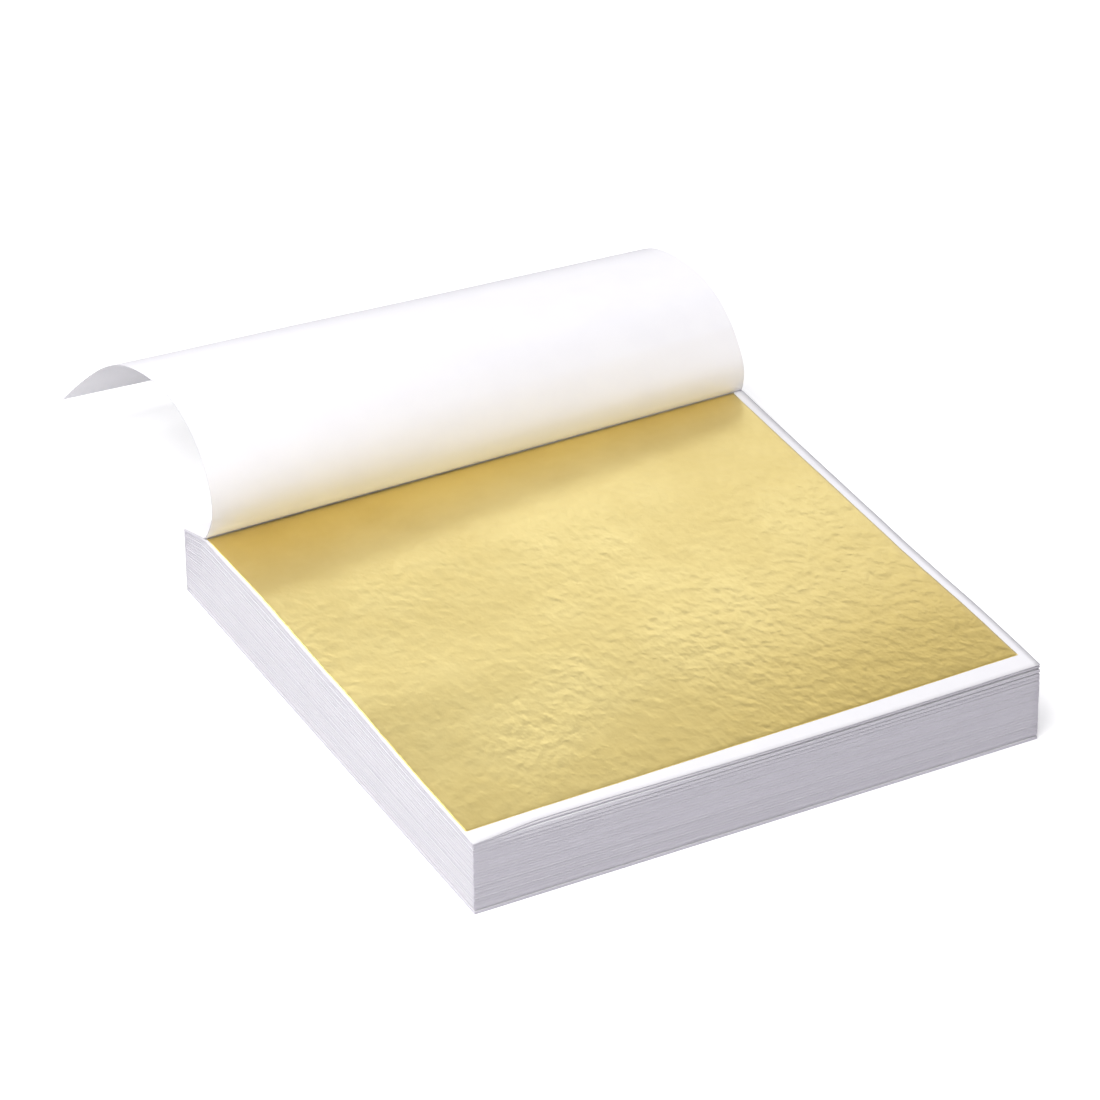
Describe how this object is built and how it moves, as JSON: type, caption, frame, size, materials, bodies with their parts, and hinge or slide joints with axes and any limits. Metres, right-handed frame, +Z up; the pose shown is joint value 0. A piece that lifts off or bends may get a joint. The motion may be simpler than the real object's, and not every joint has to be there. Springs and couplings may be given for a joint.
{
  "type": "gold leaf booklet",
  "caption": "Glued pad of thin paper sheets with square metal leaves between them, the top sheet turned back in a curl over the bound edge.",
  "frame": {"origin": "middle of the flat underside of the pad", "axes": "+X along the front edge, +Y from the front edge towards the glued edge, +Z up out of the pad"},
  "size_m": [0.0872, 0.1387, 0.0304],
  "materials": {
    "board": "matt",
    "glue": "satin",
    "sheet_paper": "matt",
    "page_paper": "matt",
    "gold_leaf": "satin, finely crinkled"
  },
  "bodies": {
    "root": {"back_board": "board", "spine_glue": "glue", "sheets_1": "sheet_paper", "sheets_2": "sheet_paper", "sheets_3": "sheet_paper", "sheets_4": "sheet_paper", "sheets_5": "sheet_paper", "sheets_6": "sheet_paper", "sheets_7": "sheet_paper", "sheets_8": "sheet_paper", "leaves_1": "gold_leaf", "leaves_2": "gold_leaf", "leaves_3": "gold_leaf", "leaves_4": "gold_leaf", "leaves_5": "gold_leaf", "leaves_6": "gold_leaf", "leaves_7": "gold_leaf", "leaves_8": "gold_leaf", "top_sheet_1": "sheet_paper", "top_sheet_2": "sheet_paper", "top_sheet_3": "sheet_paper", "top_sheet_4": "sheet_paper", "leaf_2": "gold_leaf", "leaf_3": "gold_leaf", "leaf_4": "gold_leaf", "page_root": "page_paper"},
    "top_leaf": {"top_leaf": "gold_leaf"},
    "page_1": {"page_strip_1": "page_paper"},
    "page_2": {"page_strip_2": "page_paper"},
    "page_3": {"page_strip_3": "page_paper"},
    "page_4": {"page_strip_4": "page_paper"},
    "page_5": {"page_strip_5": "page_paper"},
    "page_6": {"page_strip_6": "page_paper"},
    "page_7": {"page_strip_7": "page_paper"},
    "page_8": {"page_strip_8": "page_paper"},
    "page_9": {"page_strip_9": "page_paper"},
    "page_10": {"page_strip_10": "page_paper"}
  },
  "joints": [
    {"name": "leaf_lift", "type": "slide", "parent": "root", "child": "top_leaf", "axis": [0, -0.866, 0.5], "range_m": [0, 0.11]},
    {"name": "page_turn", "type": "hinge", "parent": "root", "child": "page_1", "pos_m": [0, 0.03805, 0.01264], "axis": [1, 0, 0], "range_deg": [-1, 54.74]},
    {"name": "page_curl_2", "type": "hinge", "parent": "page_1", "child": "page_2", "pos_m": [0, 0.03402, 0.01826], "axis": [1, 0, 0], "range_deg": [-0.82, 44.69]},
    {"name": "page_curl_3", "type": "hinge", "parent": "page_2", "child": "page_3", "pos_m": [0, 0.0351, 0.02509], "axis": [1, 0, 0], "range_deg": [-0.64, 35.22]},
    {"name": "page_curl_4", "type": "hinge", "parent": "page_3", "child": "page_4", "pos_m": [0, 0.03992, 0.03005], "axis": [1, 0, 0], "range_deg": [-0.5, 27.08]},
    {"name": "page_curl_5", "type": "hinge", "parent": "page_4", "child": "page_5", "pos_m": [0, 0.04648, 0.03227], "axis": [1, 0, 0], "range_deg": [-0.37, 20.18]},
    {"name": "page_curl_6", "type": "hinge", "parent": "page_5", "child": "page_6", "pos_m": [0, 0.05339, 0.03209], "axis": [1, 0, 0], "range_deg": [-0.26, 14.46]},
    {"name": "page_curl_7", "type": "hinge", "parent": "page_6", "child": "page_7", "pos_m": [0, 0.06004, 0.03019], "axis": [1, 0, 0], "range_deg": [-0.18, 9.85]},
    {"name": "page_curl_8", "type": "hinge", "parent": "page_7", "child": "page_8", "pos_m": [0, 0.06627, 0.02718], "axis": [1, 0, 0], "range_deg": [-0.11, 6.26]},
    {"name": "page_curl_9", "type": "hinge", "parent": "page_8", "child": "page_9", "pos_m": [0, 0.07213, 0.0235], "axis": [1, 0, 0], "range_deg": [-0.07, 3.59]},
    {"name": "page_curl_10", "type": "hinge", "parent": "page_9", "child": "page_10", "pos_m": [0, 0.07775, 0.01947], "axis": [1, 0, 0], "range_deg": [-0.04, 2.42]}
  ],
  "couplings": [
    {"joint": "page_curl_2", "follows": "page_turn", "ratio": 0.81643},
    {"joint": "page_curl_3", "follows": "page_turn", "ratio": 0.64351},
    {"joint": "page_curl_4", "follows": "page_turn", "ratio": 0.49467},
    {"joint": "page_curl_5", "follows": "page_turn", "ratio": 0.36869},
    {"joint": "page_curl_6", "follows": "page_turn", "ratio": 0.26424},
    {"joint": "page_curl_7", "follows": "page_turn", "ratio": 0.17994},
    {"joint": "page_curl_8", "follows": "page_turn", "ratio": 0.11429},
    {"joint": "page_curl_9", "follows": "page_turn", "ratio": 0.065652},
    {"joint": "page_curl_10", "follows": "page_turn", "ratio": 0.044164}
  ]
}
